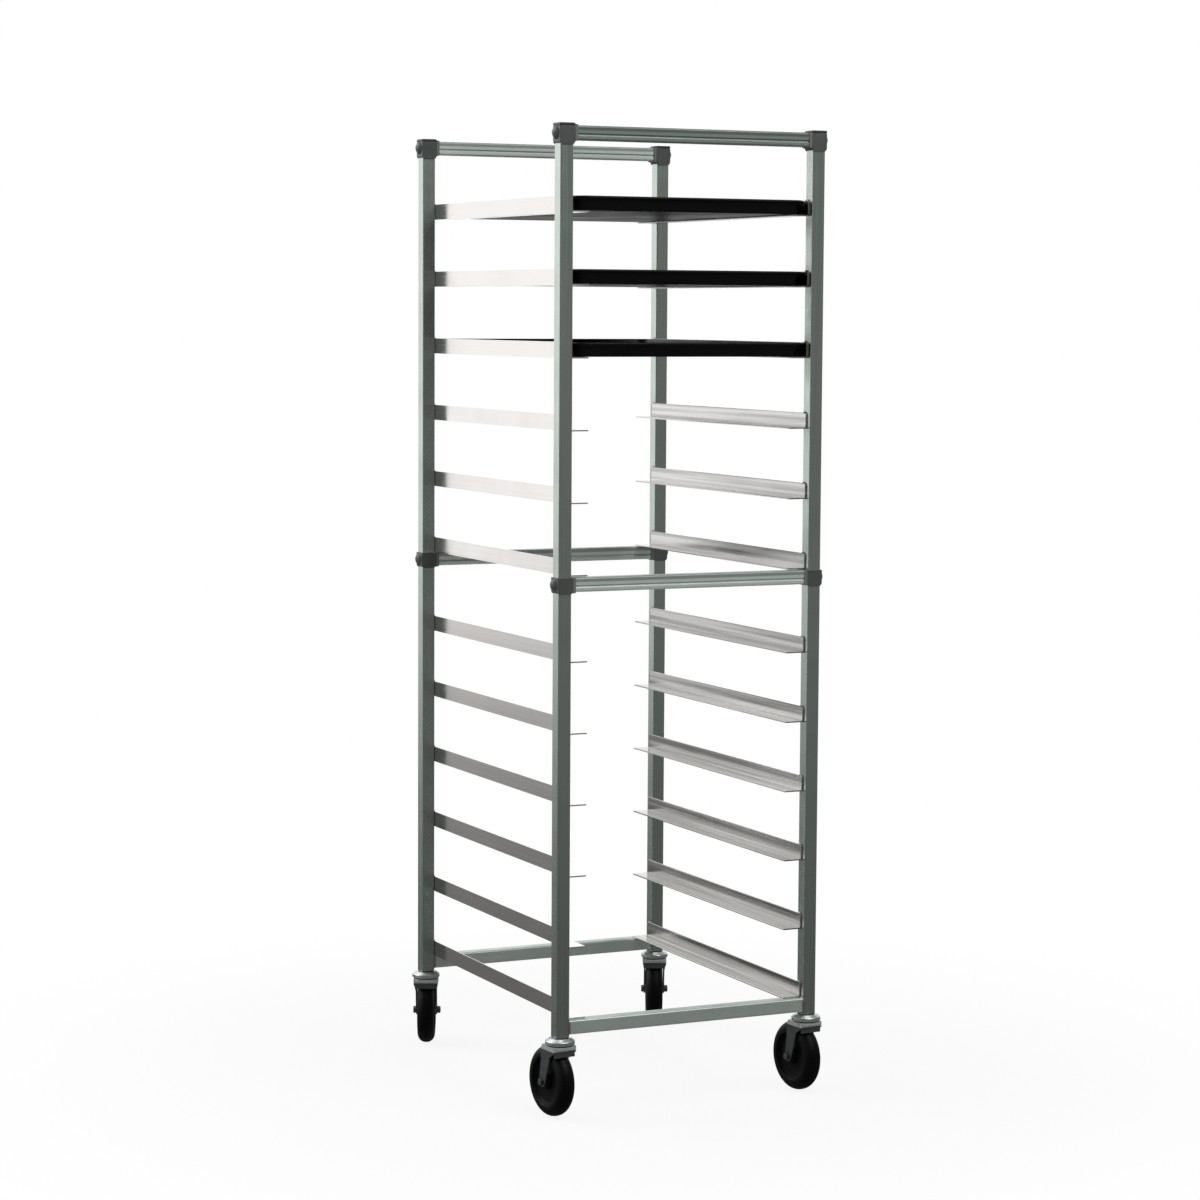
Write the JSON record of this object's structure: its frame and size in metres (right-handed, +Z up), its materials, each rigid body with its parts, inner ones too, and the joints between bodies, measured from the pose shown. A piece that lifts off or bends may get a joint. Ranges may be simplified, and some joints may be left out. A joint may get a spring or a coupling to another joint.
{
  "type": "sheet pan rack",
  "caption": "Tall end-loading bakery rack: square aluminium posts, paired angle ledges for full-size sheet pans, cross bars front and back, swivel casters, and black pans on the upper ledges.",
  "frame": {"origin": "on the floor, under the middle of the four posts", "axes": "+Z up, +X to the right along the front, +Y from the front end to the back end; pans slide along Y"},
  "size_m": [0.5734, 0.757, 1.7526],
  "materials": {
    "aluminium": "mill-finish square tube",
    "aluminium_ledge": "bright extruded angle",
    "grey_plastic": "moulded nylon",
    "black_plastic": "moulded polypropylene",
    "black_polyolefin": "moulded in one piece, slightly glossy",
    "zinc_steel": "bright zinc plate",
    "grey_steel": "grey painted pressed steel",
    "black_steel": "black oxide on steel",
    "black_pan": "black non-stick coated steel"
  },
  "bodies": {
    "frame": {"post_front_left": "aluminium", "post_back_left": "aluminium", "post_front_right": "aluminium", "post_back_right": "aluminium", "ledge_left_01": "aluminium_ledge", "ledge_right_01": "aluminium_ledge", "ledge_left_02": "aluminium_ledge", "ledge_right_02": "aluminium_ledge", "ledge_left_03": "aluminium_ledge", "ledge_right_03": "aluminium_ledge", "ledge_left_04": "aluminium_ledge", "ledge_right_04": "aluminium_ledge", "ledge_left_05": "aluminium_ledge", "ledge_right_05": "aluminium_ledge", "ledge_left_06": "aluminium_ledge", "ledge_right_06": "aluminium_ledge", "ledge_left_07": "aluminium_ledge", "ledge_right_07": "aluminium_ledge", "ledge_left_08": "aluminium_ledge", "ledge_right_08": "aluminium_ledge", "ledge_left_09": "aluminium_ledge", "ledge_right_09": "aluminium_ledge", "ledge_left_10": "aluminium_ledge", "ledge_right_10": "aluminium_ledge", "ledge_left_11": "aluminium_ledge", "ledge_right_11": "aluminium_ledge", "ledge_left_12": "aluminium_ledge", "ledge_right_12": "aluminium_ledge", "top_bar_front": "aluminium", "top_bar_back": "aluminium", "middle_bar_front": "aluminium", "middle_bar_back": "aluminium", "bottom_bar_front": "aluminium", "bottom_bar_back": "aluminium", "top_connectors": "grey_plastic", "middle_connectors": "grey_plastic", "stem_sockets": "black_plastic", "caster_stems": "zinc_steel", "swivel_heads": "zinc_steel"},
    "caster_front_left": {"fork_front_left": "grey_steel", "axle_front_left": "black_steel", "sleeve_front_left": "zinc_steel"},
    "wheel_front_left": {"wheel_front_left": "black_polyolefin"},
    "caster_back_left": {"fork_back_left": "grey_steel", "axle_back_left": "black_steel", "sleeve_back_left": "zinc_steel"},
    "wheel_back_left": {"wheel_back_left": "black_polyolefin"},
    "caster_front_right": {"fork_front_right": "grey_steel", "axle_front_right": "black_steel", "sleeve_front_right": "zinc_steel"},
    "wheel_front_right": {"wheel_front_right": "black_polyolefin"},
    "caster_back_right": {"fork_back_right": "grey_steel", "axle_back_right": "black_steel", "sleeve_back_right": "zinc_steel"},
    "wheel_back_right": {"wheel_back_right": "black_polyolefin"},
    "pan_1": {"pan_1": "black_pan"},
    "pan_2": {"pan_2": "black_pan"},
    "pan_3": {"pan_3": "black_pan"}
  },
  "joints": [
    {"name": "swivel_front_left", "type": "hinge", "parent": "frame", "child": "caster_front_left", "pos_m": [-0.24765, -0.3175, 0.133], "axis": [0, 0, 1], "continuous": true},
    {"name": "roll_front_left", "type": "hinge", "parent": "caster_front_left", "child": "wheel_front_left", "pos_m": [-0.25058, -0.28965, 0.0635], "axis": [0.9945, 0.1045, 0], "continuous": true},
    {"name": "swivel_back_left", "type": "hinge", "parent": "frame", "child": "caster_back_left", "pos_m": [-0.24765, 0.3175, 0.133], "axis": [0, 0, 1], "continuous": true},
    {"name": "roll_back_left", "type": "hinge", "parent": "caster_back_left", "child": "wheel_back_left", "pos_m": [-0.23604, 0.34298, 0.0635], "axis": [0.91, -0.4147, 0], "continuous": true},
    {"name": "swivel_front_right", "type": "hinge", "parent": "frame", "child": "caster_front_right", "pos_m": [0.24765, -0.3175, 0.133], "axis": [0, 0, 1], "continuous": true},
    {"name": "roll_front_right", "type": "hinge", "parent": "caster_front_right", "child": "wheel_front_right", "pos_m": [0.24472, -0.28965, 0.0635], "axis": [0.9945, 0.1045, 0], "continuous": true},
    {"name": "swivel_back_right", "type": "hinge", "parent": "frame", "child": "caster_back_right", "pos_m": [0.24765, 0.3175, 0.133], "axis": [0, 0, 1], "continuous": true},
    {"name": "roll_back_right", "type": "hinge", "parent": "caster_back_right", "child": "wheel_back_right", "pos_m": [0.25926, 0.34298, 0.0635], "axis": [0.91, -0.4147, 0], "continuous": true},
    {"name": "pan_1_slide", "type": "slide", "parent": "frame", "child": "pan_1", "axis": [0, -1, 0], "range_m": [-0.6, 0.6]},
    {"name": "pan_2_slide", "type": "slide", "parent": "frame", "child": "pan_2", "axis": [0, -1, 0], "range_m": [-0.6, 0.6]},
    {"name": "pan_3_slide", "type": "slide", "parent": "frame", "child": "pan_3", "axis": [0, -1, 0], "range_m": [-0.6, 0.6]}
  ]
}
